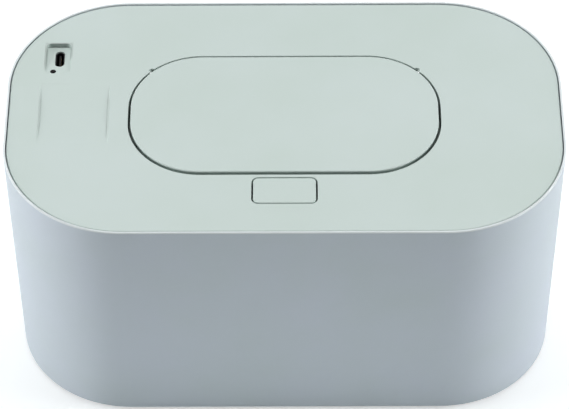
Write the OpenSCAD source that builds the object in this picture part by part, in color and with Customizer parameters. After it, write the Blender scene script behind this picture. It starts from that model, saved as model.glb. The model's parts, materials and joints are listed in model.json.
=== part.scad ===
// Baby wipe warmer for a countertop. A tapered body holds a tub of wipes. A lift-off cover with the
// heater and the circuit board closes it, and a flip lid over the dispensing port opens at a button.
// Millimetres. The origin is the centre of the footprint on the standing surface. +X is the right,
// -Y the front and +Z is up.

/* [Body] */
// Length of the body over its rim
body_l = 205; // [195:1:246]
// Depth of the body over its rim
body_d = 119.6; // [112:0.2:144]
// Height from the standing surface to the rim
body_h = 100; // [92:1:120]
// Radius of the rim's corners in plan
corner_r = 44.5; // [43:0.5:47]
// How far each side leans in between the rim and the bottom
side_taper = 2.2; // [0.5:0.1:3]
// Thickness of the body's wall
shell_wall = 2.4; // [2:0.1:2.8]
// Thickness of the body's floor
shell_floor = 2.4; // [1.8:0.1:3.2]
// Width of the lip that shows round the cover
rim_w = 0.8; // [0.7:0.1:1.2]
// Rounding of the body's bottom edge
bottom_round = 1; // [0.6:0.1:3]
// Rounding inside the body's bottom edge
inner_round = 2; // [1:0.1:3]

/* [Feet] */
// Diameter of a rubber foot
foot_d = 12; // [8:0.5:16]
// How far a foot stands below the body
foot_proud = 1; // [0.8:0.1:2.5]
// Depth of the seat that a foot is glued into
foot_seat = 1; // [0.5:0.1:1.4]
// Distance from the body's end to a foot's centre
foot_from_end = 32; // [28:1:60]
// Distance from the body's front or back to a foot's centre
foot_from_side = 24; // [20:1:40]

/* [Tub] */
// Distance from the rim's outside to the tub's outside
tub_inset = 8.5; // [8:0.1:11]
// Wall and floor of the tub
tub_wall = 1.8; // [1.2:0.1:2.4]
// How far each side of the tub leans in over its height
tub_draft = 1.5; // [0.5:0.1:2.2]
// Thickness of the tub's flange
flange_t = 2; // [1.5:0.1:3]
// Free height under the tub
tub_lift = 4; // [3:0.5:10]
// Outside rounding of the tub's bottom edge
tub_round = 7; // [4:0.5:10]
// Thickness of the foam sleeve round the tub
foam_t = 4; // [2:0.5:4.2]

/* [Cover] */
// Height from the cover's underside to its top
cover_depth = 18.1; // [17.6:0.1:20]
// Thickness of the cover's top plate
plate_t = 2.4; // [2.2:0.1:3]
// How far the cover lies below the rim
cover_drop = 0.3; // [0:0.1:1]
// Gap between the cover and the rim
cover_gap = 0.4; // [0.4:0.1:0.8]
// Rounding of the cover's top edge
cover_round = 0.4; // [0.3:0.1:1]
// Wall of the lower cover
base_wall = 1.8; // [1.4:0.1:1.9]
// Floor of the lower cover
base_floor = 2; // [1.6:0.1:2.4]
// Height of the seal under the cover
gasket_t = 1.5; // [1:0.1:2.5]
// Width of the seal under the cover
gasket_w = 2.6; // [2:0.1:3]

/* [Flip lid] */
// Length of the flip lid
lid_l = 113.2; // [104:0.2:120]
// Depth of the flip lid
lid_d = 59.6; // [57:0.1:61]
// Radius of the flip lid's corners
lid_corner_r = 26; // [24:0.5:28]
// Distance of the flip lid's centre behind the cover's centre
lid_y = 0.6; // [-1:0.1:1]
// Thickness of the flip lid's skin
lid_t = 2.2; // [2:0.1:2.6]
// Rounding of the flip lid's top edge
lid_round = 0.5; // [0.3:0.1:0.8]
// Thickness of the flip lid's skin at its edge, which is bevelled below
lid_edge_t = 0.7; // [0.7:0.1:1.6]
// Gap at the lid's sides
gap_side = 0.9; // [0.7:0.1:1.2]
// Gap behind the lid
gap_back = 0.4; // [0.4:0.1:1]
// Gap in front of the lid
gap_front = 1.7; // [1:0.1:1.8]
// Depth of the well under the lid
well_depth = 10.1; // [10:0.1:10.6]
// Thickness of the lid's inner panel
liner_t = 2; // [1.6:0.1:2.4]

/* [Lid hinge] */
// Distance from the lid's rear edge to the hinge axis
hinge_in = 7.8; // [6.5:0.1:8]
// Depth of the hinge axis below the lid's top
hinge_drop = 1.1; // [1:0.05:1.2]
// Diameter of a hinge pin
pin_d = 1; // [0.8:0.1:1]
// Length of a hinge pin
pin_l = 16; // [14:0.5:18]

/* [Port] */
// Length of the dispensing port
port_l = 78; // [60:1:80]
// Distance from the flip lid's front edge to the dispensing port
port_from_front = 8.2; // [8:0.1:12]
// Distance from the flip lid's rear edge to the dispensing port
port_from_back = 17.4; // [17:0.1:22]
// Radius of the port's corners
port_corner_r = 14; // [8:0.5:16]
// Wall of the port's sleeve
port_wall = 1.6; // [1.2:0.1:1.8]
// Height of the collar above the well's floor
collar_h = 4.5; // [3:0.1:4.6]

/* [Button and latch] */
// Length of the button
button_l = 22.7; // [20:0.1:24]
// Depth of the button
button_d = 12.4; // [12:0.1:13.5]
// Radius of the button's corners
button_r = 2; // [1:0.1:3]
// Gap in front of the button and at its sides
button_gap = 0.6; // [0.3:0.05:0.7]
// Gap behind the button
button_gap_back = 0.3; // [0.3:0.05:0.6]
// Web between the lid's well and the button's hole
button_web = 1.2; // [1.1:0.1:2]
// Travel of the button
button_travel = 1.6; // [1:0.1:1.7]
// Thickness of the button's top
button_t = 2; // [1.6:0.1:2.2]

/* [Socket and indicator] */
// Distance from the body's left end to the socket's centre
socket_from_end = 18.6; // [18.2:0.1:26]
// Distance of the socket's centre behind the body's centre
socket_y = 30.4; // [18:0.1:31]
// Length of the socket's recess, from front to back
recess_l = 15.7; // [13:0.1:17]
// Distance from the socket's centre back to the recess's rear wall
recess_back = 7.3; // [5.5:0.1:7.5]
// Distance from the socket's centre to the recess's centre, to the left
recess_shift = 0.5; // [0:0.1:0.8]
// Width of the socket's recess
recess_w = 9.4; // [6:0.1:10]
// Depth of the socket's recess at its rear wall, from where its floor rises to the front
recess_depth = 1.8; // [1:0.1:3]
// Radius of the recess's corners
recess_r = 1.8; // [1:0.1:3]
// How far the socket lies below the recess's rear end
socket_sink = 0.3; // [0.3:0.1:1]
// Length of the USB-C shell
usb_l = 8.94; // [8.9:0.01:9]
// Width of the USB-C shell
usb_w = 3.26; // [3.2:0.01:3.3]
// Distance from the body's left end to the indicator's centre
lens_from_end = 16.4; // [16:0.1:24]
// Distance from the socket's centre forward to the indicator's centre
lens_before_socket = 7.5; // [6.6:0.1:8]
// Diameter of the indicator's lens
lens_d = 2.2; // [1.2:0.1:2.6]

/* [Touch area] */
// Distance from the body's left end to the touch area's centre
touch_from_end = 25; // [24:0.5:26]
// Distance of the touch area's centre behind the body's centre
touch_y = 0.8; // [-2:0.1:2]
// Size of the touch area from left to right
touch_l = 26.2; // [20:0.2:27.2]
// Size of the touch area from front to back
touch_d = 31.4; // [24:0.2:33]
// Depth of the touch area's dish at its middle, from where it rises to the front and to the back
touch_dish = 0.5; // [0.2:0.05:0.6]
// Width of the slope at the left and right of the dish
touch_slope = 0.8; // [0.4:0.1:2]

/* [Heater] */
// Distance from the rim's outside to the heating plate
heater_inset = 15; // [14:0.5:17]
// Thickness of the heating plate
heater_t = 1.6; // [1.2:0.1:2]
// Thickness of the heater film
film_t = 0.4; // [0.2:0.05:0.5]

/* [Board] */
// Length of the circuit board, from front to back
board_l = 60; // [56:0.5:62]
// Width of the circuit board
board_w = 26; // [24:0.5:27]
// Thickness of the circuit board
board_t = 1.6; // [1:0.1:1.6]

/* [Hidden] */
$fn = 96;

cover_colour = [0.80, 0.85, 0.83];
shell_colour = [0.74, 0.79, 0.79];
inner_colour = [0.88, 0.90, 0.89];
rubber_colour = [0.25, 0.26, 0.27];
steel_colour = [0.70, 0.71, 0.72];
aluminium_colour = [0.78, 0.79, 0.80];
board_colour = [0.10, 0.36, 0.22];
wire_colour = [0.80, 0.15, 0.12];

tiny = 0.01;
fit_gap = 0.3;
press_gap = 0.05;
screw_gap = 0.2;
foot_gap = 0.2;
plate_clear = 0.8;
well_floor = 1.6;
lid_rim_t = 1.2;
lid_rim_in = 1;
well_wall = 1.1;

// Heights, from the standing surface upwards
z_base = foot_proud;
z_floor = z_base + shell_floor;
z_rim = body_h;
z_top = z_rim - cover_drop;
z_plate = z_top - plate_t;
z_tray = z_top - cover_depth;
z_inside = z_tray + base_floor;
z_flange = z_tray - gasket_t;
z_ledge = z_flange - flange_t;
z_step = z_plate - plate_clear;
z_well = z_top - well_depth;
z_well_under = z_well - well_floor;
z_collar = z_well + collar_h;
z_heater = z_tray - film_t - heater_t;
z_tub = z_floor + tub_lift;

// All rings of the body share the centres of the rim's corners
corner_x = body_l / 2 - corner_r;
corner_y = body_d / 2 - corner_r;
lean = atan(side_taper / (z_rim - z_base));
ledge_t = 2;
tub_clear = 0.6;
ledge_reach = corner_r - tub_inset + tub_clear;
lip_inner = corner_r - rim_w;
plate_edge = lip_inner - cover_gap;
base_inset = 2.4;
base_edge = plate_edge - base_inset;
gasket_inset = 0.8;
gasket_edge = base_edge - gasket_inset;
flange_edge = base_edge;
tub_top_x = corner_r - tub_inset;
tub_foot_x = tub_top_x - tub_draft;

// Flip lid, its well and its hinge
lid_r = min(lid_corner_r, lid_d / 2 - 1);
lid_rim_edge = lid_r - lid_rim_in;
lid_cx = lid_l / 2 - lid_r;
lid_cy = lid_d / 2 - lid_r;
lid_back = lid_y + lid_d / 2;
lid_front = lid_y - lid_d / 2;
well_front = lid_front - gap_front;
well_back = lid_back + gap_back;
well_r = lid_r + gap_side;
well_y = (well_front + well_back) / 2;
well_cx = lid_cx;
well_cy = (well_back - well_front) / 2 - well_r;
lid_under = z_top - lid_t;
liner_under = lid_under - liner_t;
axis_y = lid_back - hinge_in;
axis_z = z_top - hinge_drop;
// Where the lid's outline crosses the hinge axis, and where the well's outline does
lid_cross_x = lid_cx + sqrt(pow(lid_r, 2) - pow(axis_y - lid_y - lid_cy, 2));
well_cross_x = well_cx + sqrt(pow(well_r, 2) - pow(axis_y - well_y - well_cy, 2));
bore_d = pin_d + 2 * press_gap;
knuckle_l = 7;
knuckle_x1 = lid_cross_x - 5;
knuckle_x0 = knuckle_x1 - knuckle_l;
knuckle_d = 3;
pin_x0 = knuckle_x0 + 1;
pin_x1 = pin_x0 + pin_l;
relief_gap = 0.45;

// Dispensing port
port_d = lid_d - port_from_front - port_from_back;
port_y = lid_y + (port_from_front - port_from_back) / 2;
port_r = min(port_corner_r, port_d / 2 - 1);
port_cx = port_l / 2 - port_r;
port_cy = port_d / 2 - port_r;
sleeve_r = port_r + port_wall;
tray_port_r = sleeve_r + fit_gap;
heater_port_r = sleeve_r + 2.4;
seal_in = 0.8;
seal_out = 2.4;
seal_groove = 0.6;

// Button and latch
hole_l = button_l + 2 * button_gap;
hole_d = button_d + button_gap + button_gap_back;
hole_r = button_r + button_gap;
hole_y = well_front - button_web - hole_d / 2;
button_y = hole_y + (button_gap - button_gap_back) / 2;
button_skirt = 1.6;
latch_lift = 2.5;
latch_z = z_inside + latch_lift;
latch_plate = 1.6;
latch_front = button_y - 5.2;
latch_back = button_y + 4.6;
cheek_in = 4.2;
cheek_t = 1.8;
cheek_out = cheek_in + cheek_t;
cheek_clear = 1.8;
cheek_top = z_plate - button_travel - cheek_clear;
stud_r = 1;
stud_z = latch_z + 5.5;
leg_in = cheek_out + 0.4;
leg_t = 1.5;
nose_w = 6.8;
nose_h = 1.8;
nose_z0 = cheek_top - nose_h;
nose_reach = 0.85;
nose_tip = well_front + nose_reach;
nose_side = 0.6;
barb_gap = 0.6;
post_r = 2.7;
spring_r = 2.4;
spring_wire = 0.6;
spring_core_r = spring_r - spring_wire / 2 - fit_gap;
spring_z0 = z_inside + 3;
spring_z1 = z_top - button_t;

// Leaf springs beside the port
leaf_t = 0.4;
leaf_w = 4;
leaf_x = (port_cx + sleeve_r + well_cx + well_r) / 2;
leaf_y = port_y - 8;
leaf_hole = 2;

// Socket, indicator, board and touch area
usb_gap = 0.15;
usb_sheet = 0.3;
socket_x = -body_l / 2 + socket_from_end;
lens_x = -body_l / 2 + lens_from_end;
lens_y = socket_y - lens_before_socket;
touch_x = -body_l / 2 + touch_from_end;
recess_z = z_top - recess_depth;
recess_wall = 1;
recess_floor = 1.2;
socket_top = recess_z - socket_sink;
lens_top = z_top - 0.1;
lens_boss_h = 2.5;
lens_boss_r = lens_d / 2 + 0.9;
board_x = socket_x + 5.2;
board_y = socket_y - 22.7;
socket_h = 9.5;
board_z = recess_z - socket_h;
board_top = board_z + board_t;
board_r = 8;
board_boss_x = 8.5;
board_boss_y = board_l / 2 - 4.5;

// Screws
cover_screw_r = 1.4;
cover_boss_r = 3.2;
cover_boss_h = 1.8;
plate_screw_r = 1.2;
plate_boss_r = 2.8;
board_screw_r = 0.9;
board_boss_r = 2.6;
head_seat = 0.2;
cover_screw_inset = 10.6;
cover_screw_angle = 70;
plate_screw_reach = 24;
plate_screw_x = corner_x + plate_screw_reach * cos(45);
plate_screw_y = corner_y + plate_screw_reach * sin(45);
plate_boss_top = board_z - 0.5;
cover_screw_x = corner_x + (corner_r - cover_screw_inset) * cos(cover_screw_angle);
cover_screw_y = corner_y + (corner_r - cover_screw_inset) * sin(cover_screw_angle);

// Sensor, fuse and where the leads end
fuse_x = 28 - corner_x;
fuse_y = port_y - port_d / 2 - 12;
fuse_r = 1.8;
fuse_l = 10;
sensor_x = fuse_x - 20;
sensor_y = fuse_y;
sensor_r = 1.1;
sensor_l = 4;
fuse_window = 6;
film_top = z_tray;
lead_r = 0.6;
lead_run_z = z_inside + 1;
connector_l = 8;
connector_x = board_x + board_w / 2 - 3;
connector_y = board_y - board_l / 2 + 14;

function unit(v) = v / norm(v);
function arc(c, r, a0, a1, n = 8) =
    [for (i = [0:n]) c + r * [cos(a0 + (a1 - a0) * i / n), sin(a0 + (a1 - a0) * i / n)]];
function side_x(z) = corner_r - side_taper * (z_rim - z) / (z_rim - z_base);
function wall_x(z) = side_x(z) - shell_wall / cos(lean);
function tub_x(z) = tub_foot_x + tub_draft * (z - z_tub) / (z_flange - z_tub);

// Carries a profile round a rounded rectangle. x in the profile is the distance outward from the
// centres of the corners, which lie at cx and cy, and y in it is the height.
module sweep(cx, cy) {
    for (mx = [0, 1], my = [0, 1])
        mirror([mx, 0, 0]) mirror([0, my, 0]) translate([cx, cy, 0]) rotate_extrude(angle = 90) children();
    for (my = [0, 1])
        mirror([0, my, 0]) translate([0, cy, 0]) rotate([90, 0, 90])
            linear_extrude(2 * cx, center = true) children();
    for (mx = [0, 1])
        mirror([mx, 0, 0]) translate([cx, 0, 0]) rotate([90, 0, 0])
            linear_extrude(2 * cy, center = true) children();
}

// The same, for a profile that starts at the corner centres, with the middle filled
module solid_sweep(cx, cy, z0, z1) {
    sweep(cx, cy) children();
    translate([-cx, -cy, z0]) cube([2 * cx, 2 * cy, z1 - z0]);
}

// A plain rounded plate or hole
module slab(cx, cy, r, z0, z1) {
    solid_sweep(cx, cy, z0, z1) translate([0, z0]) square([r, z1 - z0]);
}

// A plain ring between two radii
module ring(cx, cy, r0, r1, z0, z1) {
    sweep(cx, cy) translate([r0, z0]) square([r1 - r0, z1 - z0]);
}

module on_four(x, y) {
    for (mx = [0, 1], my = [0, 1])
        mirror([mx, 0, 0]) mirror([0, my, 0]) translate([x, y, 0]) children();
}

module on_sides() {
    for (mx = [0, 1]) mirror([mx, 0, 0]) children();
}

module x_cylinder(x0, x1, y, z, r) {
    translate([x0, y, z]) rotate([0, 90, 0]) cylinder(r = r, h = x1 - x0);
}

module post(x, y, z0, z1, r) {
    translate([x, y, z0]) cylinder(r = r, h = z1 - z0);
}

// A round wire through the points of a path. No stretch of the path may run along the direction up.
module wire(path, r, sides, up) {
    n = len(path);
    rings = [for (i = [0:n - 1])
        let (t = unit(path[min(i + 1, n - 1)] - path[max(i - 1, 0)]))
        let (u = unit(cross(up, t)), v = cross(t, u))
        for (k = [0:sides - 1]) path[i] + r * (cos(360 * k / sides) * u + sin(360 * k / sides) * v)];
    faces = concat(
        [for (i = [0:n - 2], k = [0:sides - 1])
            [i * sides + k, (i + 1) * sides + k, i * sides + (k + 1) % sides]],
        [for (i = [0:n - 2], k = [0:sides - 1])
            [i * sides + (k + 1) % sides, (i + 1) * sides + k, (i + 1) * sides + (k + 1) % sides]],
        [for (k = [1:sides - 2]) [0, k, k + 1]],
        [for (k = [1:sides - 2]) [(n - 1) * sides, (n - 1) * sides + k + 1, (n - 1) * sides + k]]);
    polyhedron(rings, faces);
}

// A compression spring whose first and last turns lie nearly flat
function coil_path(r, z0, z1, turns, steps = 12) =
    [for (i = [0:turns * steps]) let (s = i / (turns * steps), a = 360 * i / steps)
        [r * cos(a), r * sin(a), z0 + (z1 - z0) * (s - sin(360 * s) / (2 * PI) * 0.55)]];

// Outer body: leaning wall, thin rounded rim, inner step and the ledge that carries the tub
module outer_shell() {
    rim_r = 0.4;
    rim_in_r = 0.15;
    rim_c = [side_x(z_rim - rim_r) - rim_r / cos(lean), z_rim - rim_r];
    rim_in_c = [lip_inner + rim_in_r, z_rim - rim_in_r];
    foot_c = [side_x(z_base + bottom_round) - bottom_round / cos(lean), z_base + bottom_round];
    inner_c = [wall_x(z_floor + inner_round) - inner_round / cos(lean), z_floor + inner_round];
    gusset_z = z_ledge - ledge_t - (wall_x(z_ledge) - ledge_reach);
    profile = concat(
        [[0, z_base]],
        arc(foot_c, bottom_round, -90, -lean, 5),
        arc(rim_c, rim_r, -lean, 90, 6),
        arc(rim_in_c, rim_in_r, 90, 180, 3),
        [[lip_inner, z_step], [wall_x(z_step), z_step], [wall_x(z_ledge), z_ledge],
            [ledge_reach, z_ledge], [ledge_reach, z_ledge - ledge_t], [wall_x(gusset_z), gusset_z]],
        arc(inner_c, inner_round, -lean, -90, 5),
        [[0, z_floor]]);
    color(shell_colour) difference() {
        solid_sweep(corner_x, corner_y, z_base, z_floor) polygon(profile);
        on_four(body_l / 2 - foot_from_end, body_d / 2 - foot_from_side)
            post(0, 0, z_base - 1, z_base + foot_seat, foot_d / 2 + foot_gap);
    }
}

// Foam wrap between the body and the tub
module insulation_sleeve() {
    foam_top = z_ledge - ledge_t - 6;
    bevel = inner_round + 0.2;
    foam_foot = z_floor + bevel;
    out = 0.4;
    color("ghostwhite") sweep(corner_x, corner_y) polygon([
        [wall_x(z_floor) - out - foam_t, z_floor], [wall_x(foam_foot) - out - bevel, z_floor],
        [wall_x(foam_foot) - out, foam_foot],
        [wall_x(foam_top) - out, foam_top], [wall_x(foam_top) - out - foam_t, foam_top]]);
}

// Tub with a flange that hangs on the body's ledge
module inner_tub() {
    draft = atan(tub_draft / (z_flange - z_tub));
    out_c = [tub_x(z_tub + tub_round) - tub_round / cos(draft), z_tub + tub_round];
    in_r = tub_round - tub_wall;
    profile = concat(
        [[0, z_tub]],
        arc(out_c, tub_round, -90, -draft),
        [[tub_x(z_ledge), z_ledge], [flange_edge, z_ledge], [flange_edge, z_flange],
            [tub_x(z_flange) - tub_wall, z_flange]],
        arc(out_c, in_r, -draft, -90, 6),
        [[0, z_tub + tub_wall]]);
    color(inner_colour) solid_sweep(corner_x, corner_y, z_tub, z_tub + tub_wall) polygon(profile);
}

module rubber_feet() {
    edge_r = 0.8;
    r = foot_d / 2;
    color(rubber_colour) on_four(body_l / 2 - foot_from_end, body_d / 2 - foot_from_side)
        rotate_extrude() polygon(concat([[0, 0]], arc([r - edge_r, edge_r], edge_r, -90, 0, 5),
            [[r, z_base + foot_seat], [0, z_base + foot_seat]]));
}

// The cover's plate with its rounded edge, without any opening
module cover_plate() {
    solid_sweep(corner_x, corner_y, z_plate, z_top) polygon(concat(
        [[0, z_plate], [plate_edge, z_plate]],
        arc([plate_edge - cover_round, z_top - cover_round], cover_round, 0, 90, 5),
        [[0, z_top]]));
}

module usb_outline(extra, z0, z1) {
    r = usb_w / 2 + extra;
    straight = usb_l - usb_w;
    for (my = [0, 1])
        mirror([0, my, 0]) translate([0, straight / 2, 0]) rotate_extrude(angle = 180)
            translate([0, z0]) square([r, z1 - z0]);
    translate([-r, -straight / 2, z0]) cube([2 * r, straight, z1 - z0]);
}

module recess_slab(extra, z0, z1) {
    translate([socket_x - recess_shift, socket_y + recess_back - recess_l / 2, 0])
        slab(recess_w / 2 - recess_r, recess_l / 2 - recess_r, recess_r + extra, z0, z1);
}

// The recess: its floor rises from the rear wall to nothing at the front
module recess() {
    rear_y = socket_y + recess_back;
    over = 2;
    intersection() {
        recess_slab(0, recess_z, z_top + 1);
        translate([socket_x - recess_w, 0, 0]) rotate([90, 0, 90]) linear_extrude(2 * recess_w) polygon([
            [rear_y - recess_l - over, z_top + recess_depth * over / recess_l],
            [rear_y + over, recess_z - recess_depth * over / recess_l],
            [rear_y + over, z_top + 2], [rear_y - recess_l - over, z_top + 2]]);
    }
}

// Room for the lid's side edges, which stand behind the axis when the lid is open. The floor rises as
// fast as the lid's outline widens to the front.
module hinge_relief() {
    widening = (axis_y - lid_y - lid_cy) / (lid_cross_x - lid_cx);
    reach = hinge_drop + relief_gap;
    on_sides() translate([lid_cross_x, axis_y, 0]) intersection() {
        post(0, 0, axis_z - 1, z_top + 1, reach);
        translate([0, reach + 1, 0]) rotate([90, 0, 0]) linear_extrude(2 * reach + 2) polygon([
            [relief_gap - widening, axis_z - 1],
            [relief_gap + widening * (hinge_drop + 1), z_top + 1], [-reach - 1, z_top + 1],
            [-reach - 1, axis_z - 1]]);
    }
}

// The touch area's dish: sloping at the left and right, with an arched floor that rises to nothing at
// the front and the back
module touch_area() {
    half = touch_l / 2;
    arch_r = (pow(touch_d / 2, 2) + pow(touch_dish, 2)) / (2 * touch_dish);
    over = 0.4;
    widen = over * touch_slope / touch_dish;
    translate([touch_x, touch_y, 0]) intersection() {
        rotate([90, 0, 0]) linear_extrude(touch_d + 4, center = true) polygon([
            [-half + touch_slope + widen, z_top - touch_dish - over],
            [half - touch_slope - widen, z_top - touch_dish - over],
            [half + widen, z_top + over], [-half - widen, z_top + over]]);
        x_cylinder(-touch_l, touch_l, 0, z_top - touch_dish + arch_r, arch_r);
    }
}

module top_cover() {
    rib_out = base_edge - base_wall - screw_gap;
    rib_t = 1.2;
    rib_h = 2;
    boss_z = z_inside + cover_boss_h;
    boss_roof = 1.2;
    hinge_block_d = 4.8;
    hinge_block_z = axis_z - 2.2;
    rivet_r = 1;
    rivet_head = 1.7;
    color(cover_colour) difference() {
        union() {
            difference() {
                union() {
                    cover_plate();
                    translate([0, well_y, 0])
                        slab(well_cx, well_cy, well_r + well_wall, z_well_under, z_plate + tiny);
                    ring(corner_x, corner_y, rib_out - rib_t, rib_out, z_plate - rib_h, z_plate);
                    recess_slab(recess_wall, recess_z - recess_floor, z_plate + tiny);
                    on_sides() translate([well_cross_x - 0.5, axis_y - hinge_block_d / 2, hinge_block_z])
                        cube([pin_x1 - well_cross_x + 0.5, hinge_block_d, z_plate - hinge_block_z + tiny]);
                    on_four(cover_screw_x, cover_screw_y) post(0, 0, boss_z, z_plate + tiny, cover_boss_r);
                    board_bosses() post(0, 0, board_top, z_plate + tiny, board_boss_r);
                    post(lens_x, lens_y, z_plate - lens_boss_h, z_plate + tiny, lens_boss_r);
                }
                translate([0, well_y, 0]) slab(well_cx, well_cy, well_r, z_well, z_top + 1);
            }
            translate([0, port_y, 0]) slab(port_cx, port_cy, sleeve_r, z_tray, z_collar);
            on_sides() post(leaf_x, leaf_y + leaf_hole, z_well - tiny, z_well + leaf_t + 1, rivet_r);
            on_sides() post(leaf_x, leaf_y + leaf_hole, z_well + leaf_t, z_well + leaf_t + 1, rivet_head);
        }
        translate([0, port_y, 0]) slab(port_cx, port_cy, port_r, z_tray - 1, z_collar + 1);
        translate([0, hole_y, 0])
            slab(hole_l / 2 - hole_r, hole_d / 2 - hole_r, hole_r, z_plate - 1, z_top + 1);
        translate([-nose_w / 2 - nose_side, well_front - well_wall - 1, nose_z0 - 0.5])
            cube([nose_w + 2 * nose_side, well_wall + 2, nose_h + 1]);
        recess();
        translate([socket_x, socket_y, 0]) usb_outline(usb_gap, recess_z - 3, z_top + 1);
        post(lens_x, lens_y, z_plate - 3, z_top + 1, lens_d / 2 + press_gap);
        touch_area();
        on_four(cover_screw_x, cover_screw_y)
            post(0, 0, boss_z - 1, z_plate - boss_roof, cover_screw_r + press_gap);
        board_bosses() post(0, 0, board_top - 1, z_plate - boss_roof, board_screw_r + press_gap);
        on_sides() x_cylinder(well_cross_x - 3, pin_x1 + 1, axis_y, axis_z, bore_d / 2);
        hinge_relief();
    }
}

module board_bosses() {
    for (p = [[-board_boss_x, -board_boss_y], [board_boss_x, -board_boss_y], [board_boss_x, board_boss_y]])
        translate([board_x + p[0], board_y + p[1], 0]) children();
}

// Lower half of the cover: tray, port rim, bosses, latch guide and the windows over the heater
module cover_base() {
    rail_x = cheek_out + fit_gap;
    rail_l = 11;
    guard_x = cheek_out + 2.9;
    guard_h = latch_z - z_inside + 2.6;
    bevel = 0.6;
    port_rim = 1.2;
    window_h = 4;
    cover_hole_r = cover_screw_r + screw_gap;
    cover_head_r = 2.9;
    color(inner_colour) difference() {
        union() {
            difference() {
                solid_sweep(corner_x, corner_y, z_tray, z_plate) polygon([
                    [0, z_tray], [base_edge - bevel, z_tray], [base_edge, z_tray + bevel],
                    [base_edge, z_plate], [0, z_plate]]);
                slab(corner_x, corner_y, base_edge - base_wall, z_inside, z_plate + 1);
            }
            translate([0, port_y, 0])
                ring(port_cx, port_cy, tray_port_r, tray_port_r + port_rim, z_tray + 0.5, z_inside + 2);
            on_four(cover_screw_x, cover_screw_y)
                post(0, 0, z_inside - tiny, z_inside + cover_boss_h, cover_boss_r + 1.2);
            on_four(plate_screw_x, plate_screw_y) post(0, 0, z_inside - tiny, plate_boss_top, plate_boss_r);
            for (s = [-1, 1]) {
                translate([s * rail_x - 1, button_y - 6, z_inside - tiny]) cube([2, rail_l, latch_lift]);
                translate([s * guard_x - 0.6, button_y - 6, z_inside - tiny]) cube([1.2, rail_l, guard_h]);
            }
            post(0, button_y, z_inside - tiny, spring_z0, post_r);
            post(0, button_y, z_inside - tiny, spring_z0 + 2.5, spring_core_r);
        }
        translate([0, port_y, 0]) slab(port_cx, port_cy, tray_port_r, z_tray - 1, z_inside + 3);
        recess_slab(recess_wall + fit_gap, recess_z - recess_floor - fit_gap, z_plate + 1);
        on_four(cover_screw_x, cover_screw_y) {
            post(0, 0, z_tray - 1, z_inside - head_seat, cover_head_r);
            post(0, 0, z_tray - 1, z_inside + 3, cover_hole_r);
        }
        on_four(plate_screw_x, plate_screw_y)
            post(0, 0, z_tray - 1, plate_boss_top - 1, plate_screw_r + press_gap);
        translate([fuse_x - fuse_l / 2 - fuse_window, fuse_y - 3, z_tray - 1])
            cube([fuse_l + 2 * fuse_window, 6, window_h]);
        translate([sensor_x - 7, sensor_y - 2.5, z_tray - 1]) cube([10, 5, window_h]);
    }
}

// Silicone seal between the cover and the tub's flange
module cover_gasket() {
    color("silver") ring(corner_x, corner_y, gasket_edge - gasket_w, gasket_edge, z_flange, z_tray);
}

// Pan head screw pointing up. z is the underside of its head.
module screw_up(z, head_r, head_h, shaft_r, shaft_l) {
    difference() {
        union() {
            rotate_extrude() polygon(concat([[0, z - head_h]],
                arc([head_r - 0.5, z - head_h + 0.5], 0.5, -90, 0, 4), [[head_r, z], [0, z]]));
            post(0, 0, z - tiny, z + shaft_l, shaft_r);
        }
        for (a = [0, 90]) rotate(a) translate([-head_r * 0.6, -0.3, z - head_h - 1])
            cube([head_r * 1.2, 0.6, 1 + head_h * 0.5]);
    }
}

module cover_screws() {
    color(steel_colour) on_four(cover_screw_x, cover_screw_y)
        screw_up(z_inside - head_seat, 2.6, 1.6, cover_screw_r, 9.5);
}

module hinge_pins() {
    color(steel_colour) on_sides() x_cylinder(pin_x0, pin_x1, axis_y, axis_z, pin_d / 2);
}

// Leaf springs beside the port, which push the lid up when the latch lets go
module lid_springs() {
    rise = liner_under - fit_gap - z_well;
    profile = [[0, 0], [6, 0], [15, rise - leaf_t], [18, rise - leaf_t], [18, rise], [14.6, rise],
        [5.6, leaf_t], [0, leaf_t]];
    color(steel_colour) on_sides() difference() {
        translate([leaf_x - leaf_w / 2, leaf_y, z_well]) rotate([90, 0, 90])
            linear_extrude(leaf_w) polygon(profile);
        post(leaf_x, leaf_y + leaf_hole, z_well - 1, z_well + 1, 1.1);
    }
}

module heating_plate() {
    edge = corner_r - heater_inset;
    bevel = 0.5;
    color(aluminium_colour) difference() {
        solid_sweep(corner_x, corner_y, z_heater, z_heater + heater_t) polygon([
            [0, z_heater], [edge - bevel, z_heater], [edge, z_heater + bevel],
            [edge, z_heater + heater_t], [0, z_heater + heater_t]]);
        translate([0, port_y, 0])
            slab(port_cx, port_cy, heater_port_r, z_heater - 1, z_heater + heater_t + 1);
        on_four(plate_screw_x, plate_screw_y)
            post(0, 0, z_heater - 1, z_heater + heater_t + 1, plate_screw_r + fit_gap);
    }
}

module heater_film() {
    color([0.85, 0.55, 0.20]) difference() {
        slab(corner_x, corner_y, corner_r - heater_inset - 2, z_tray - film_t, z_tray);
        translate([0, port_y, 0]) slab(port_cx, port_cy, heater_port_r + 1.5, z_tray - 1, z_tray + 1);
        on_four(plate_screw_x, plate_screw_y) post(0, 0, z_tray - 1, z_tray + 1, plate_boss_r + 1.4);
    }
}

module plate_screws() {
    color(steel_colour) on_four(plate_screw_x, plate_screw_y)
        screw_up(z_heater, 2.3, 1.2, plate_screw_r, plate_boss_top - 1.5 - z_heater);
}

module thermistor() {
    color([0.15, 0.15, 0.16])
        x_cylinder(sensor_x - sensor_l / 2, sensor_x + sensor_l / 2, sensor_y, film_top + sensor_r,
            sensor_r);
}

module thermal_fuse() {
    z = film_top + fuse_r;
    color([0.86, 0.84, 0.78]) union() {
        x_cylinder(fuse_x - fuse_l / 2, fuse_x + fuse_l / 2, fuse_y, z, fuse_r);
        x_cylinder(fuse_x - fuse_l / 2 - 1.5, fuse_x + fuse_l / 2 + 1.5, fuse_y, z, 0.4);
    }
}

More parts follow.
